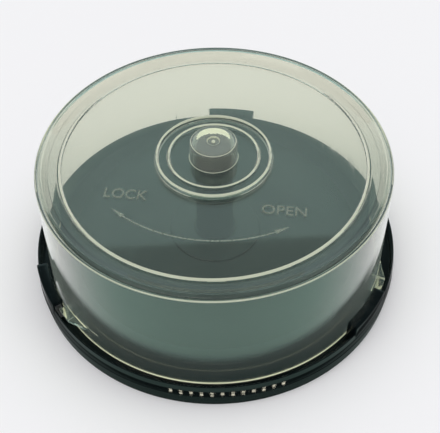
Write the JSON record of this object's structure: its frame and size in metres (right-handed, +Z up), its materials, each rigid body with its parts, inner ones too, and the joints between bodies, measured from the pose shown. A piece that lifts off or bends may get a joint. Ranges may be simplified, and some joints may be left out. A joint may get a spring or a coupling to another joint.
{
  "type": "disc spindle case",
  "caption": "Round storage case for a stack of discs: black base tray, central spindle and clear twist-lock cover with a hollow top knob.",
  "frame": {"origin": "on the table, under the centre of the tray, on the spindle's axis", "axes": "+Z up along the spindle; -Y is the side that faces the camera in the picture"},
  "size_m": [0.1392, 0.1392, 0.0596],
  "materials": {
    "black_plastic": "polished black moulding",
    "clear_plastic": "polished clear moulding with a faint green-yellow tint"
  },
  "bodies": {
    "base": {"base_tray": "black_plastic"},
    "spindle": {"spindle": "black_plastic"},
    "cover": {"cover": "clear_plastic"}
  },
  "joints": [
    {"name": "cover_twist", "type": "hinge", "parent": "base", "child": "spindle", "pos_m": [0, 0, 0.014], "axis": [0, 0, 1], "range_deg": [-15.9, 85]},
    {"name": "cover_lift", "type": "slide", "parent": "spindle", "child": "cover", "axis": [0, 0, 1], "range_m": [0, 0.06]}
  ]
}
